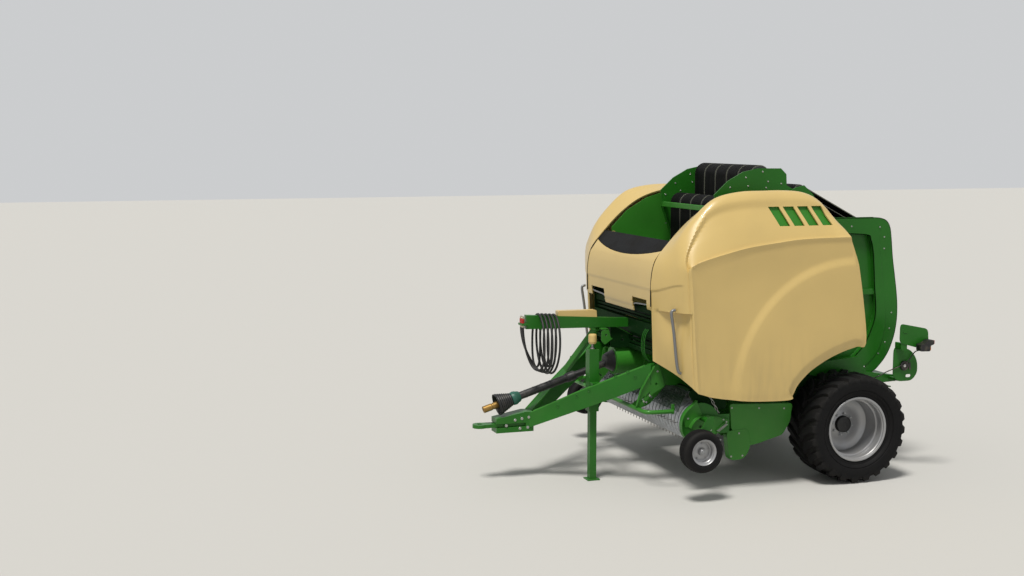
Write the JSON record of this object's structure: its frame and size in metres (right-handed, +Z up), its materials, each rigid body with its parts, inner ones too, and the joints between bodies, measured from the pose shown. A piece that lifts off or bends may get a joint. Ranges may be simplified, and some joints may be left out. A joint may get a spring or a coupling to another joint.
{
  "type": "round baler",
  "caption": "Towed round baler with side hoods, belts, tined pickup, gauge wheels, drawbar with tow eye, and jack.",
  "frame": {"origin": "middle of the bounding box at ground level", "axes": "+X forward to the tow eye, +Y to the machine's left, +Z up"},
  "size_m": [4.432, 3.02, 3.0501],
  "materials": {
    "green_paint": "semi-gloss paint",
    "light_green_paint": "semi-gloss paint",
    "hood_beige": "moulded panel, semi-gloss",
    "dark_trim": "matt",
    "bare_steel": "machined and worn",
    "galvanised": "zinc coated",
    "cylinder_steel": "semi-gloss paint",
    "chromed_rod": "hard chrome",
    "grey_tube": "satin",
    "belt_rubber": "textured rubber",
    "hose_rubber": "matt",
    "coupling_metal": "plated, coloured sleeves",
    "tyre_rubber": "moulded",
    "rim_silver": "silver paint"
  },
  "bodies": {
    "chassis": {"frame": "green_paint", "axle": "green_paint", "chamber_walls": "green_paint", "side_boxes": "light_green_paint", "drawbar": "green_paint", "tow_eye": "bare_steel", "jack_tube": "green_paint", "jack_crank": "bare_steel", "gearbox": "green_paint", "drive_shaft": "dark_trim", "drive_bell": "dark_trim", "hose_arm": "green_paint", "hose_box": "hood_beige", "hose_couplings": "coupling_metal", "hose_1": "hose_rubber", "hose_2": "hose_rubber", "hose_3": "hose_rubber", "shoulder_guards": "light_green_paint", "front_structure": "green_paint", "feed_rollers": "bare_steel", "belt_rollers": "bare_steel", "belts_front": "belt_rubber", "guard_comb": "green_paint", "rear_ramp": "green_paint", "light_panels": "green_paint", "rear_lamps": "dark_trim"},
    "jack_leg": {"jack_leg": "green_paint"},
    "tailgate": {"tailgate_sides": "green_paint", "tailgate_back": "green_paint", "tailgate_rollers": "bare_steel", "belts_tail": "belt_rubber"},
    "lift_barrel_left": {"cylinder_left": "cylinder_steel"},
    "lift_barrel_right": {"cylinder_right": "cylinder_steel"},
    "lift_rod_left": {"rod_left": "chromed_rod"},
    "lift_rod_right": {"rod_right": "chromed_rod"},
    "hood_left": {"hood_left": "hood_beige", "handle_left": "grey_tube"},
    "hood_right": {"hood_right": "hood_beige", "handle_right": "grey_tube"},
    "front_hood": {"front_hood": "hood_beige", "hood_insert": "dark_trim"},
    "pickup": {"pickup_frame": "green_paint", "pickup_bands": "galvanised"},
    "pickup_reel": {"pickup_reel": "bare_steel"},
    "crop_guard": {"crop_guard": "light_green_paint"},
    "gauge_left": {"gauge_tyre_left": "tyre_rubber", "gauge_rim_left": "rim_silver"},
    "gauge_right": {"gauge_tyre_right": "tyre_rubber", "gauge_rim_right": "rim_silver"},
    "wheel_left": {"tyre_left": "tyre_rubber", "rim_left": "rim_silver"},
    "wheel_right": {"tyre_right": "tyre_rubber", "rim_right": "rim_silver"}
  },
  "joints": [
    {"name": "wheel_left", "type": "hinge", "parent": "chassis", "child": "wheel_left", "pos_m": [-1.27, 1.042, 0.527], "axis": [0, 1, 0], "continuous": true},
    {"name": "wheel_right", "type": "hinge", "parent": "chassis", "child": "wheel_right", "pos_m": [-1.27, -1.042, 0.527], "axis": [0, 1, 0], "continuous": true},
    {"name": "jack_slide", "type": "slide", "parent": "chassis", "child": "jack_leg", "axis": [0, 0, 1], "range_m": [0, 0.3]},
    {"name": "tailgate_hinge", "type": "hinge", "parent": "chassis", "child": "tailgate", "pos_m": [-0.86, 0, 2.745], "axis": [0, 1, 0], "range_deg": [0, 60]},
    {"name": "lift_pivot_left", "type": "hinge", "parent": "chassis", "child": "lift_barrel_left", "pos_m": [-0.35, 0.735, 1.18], "axis": [0, 1, 0], "range_deg": [-3, 1]},
    {"name": "lift_pivot_right", "type": "hinge", "parent": "chassis", "child": "lift_barrel_right", "pos_m": [-0.35, -0.735, 1.18], "axis": [0, 1, 0], "range_deg": [-3, 1]},
    {"name": "lift_rod_left", "type": "slide", "parent": "lift_barrel_left", "child": "lift_rod_left", "axis": [-0.4814, 0, 0.8765], "range_m": [0, 0.39]},
    {"name": "lift_rod_right", "type": "slide", "parent": "lift_barrel_right", "child": "lift_rod_right", "axis": [-0.4814, 0, 0.8765], "range_m": [0, 0.39]},
    {"name": "hood_hinge_left", "type": "hinge", "parent": "chassis", "child": "hood_left", "pos_m": [-0.3, 0.798, 2.792], "axis": [1, 0, 0], "range_deg": [0, 65]},
    {"name": "hood_hinge_right", "type": "hinge", "parent": "chassis", "child": "hood_right", "pos_m": [-0.3, -0.798, 2.792], "axis": [-1, 0, 0], "range_deg": [0, 65]},
    {"name": "front_hood_hinge", "type": "hinge", "parent": "chassis", "child": "front_hood", "pos_m": [0.44, 0, 2.32], "axis": [0, -1, 0], "range_deg": [0, 50]},
    {"name": "pickup_lift", "type": "hinge", "parent": "chassis", "child": "pickup", "pos_m": [-0.2, 0, 0.56], "axis": [0, 1, 0], "range_deg": [0, 24]},
    {"name": "reel_spin", "type": "hinge", "parent": "pickup", "child": "pickup_reel", "pos_m": [0.3, 0, 0.65], "axis": [0, 1, 0], "continuous": true},
    {"name": "crop_guard_hinge", "type": "hinge", "parent": "chassis", "child": "crop_guard", "pos_m": [0.56, 0, 1.12], "axis": [0, -1, 0], "range_deg": [0, 10]},
    {"name": "gauge_left", "type": "hinge", "parent": "pickup", "child": "gauge_left", "pos_m": [0.482, 1.4325, 0.48], "axis": [0, 1, 0], "continuous": true},
    {"name": "gauge_right", "type": "hinge", "parent": "pickup", "child": "gauge_right", "pos_m": [0.482, -1.4325, 0.48], "axis": [0, 1, 0], "continuous": true}
  ],
  "couplings": [
    {"joint": "lift_pivot_left", "follows": "tailgate_hinge", "ratio": -0.02267},
    {"joint": "lift_rod_left", "follows": "tailgate_hinge", "m_per_rad": 0.36154},
    {"joint": "lift_pivot_right", "follows": "tailgate_hinge", "ratio": -0.02267},
    {"joint": "lift_rod_right", "follows": "tailgate_hinge", "m_per_rad": 0.36154}
  ]
}
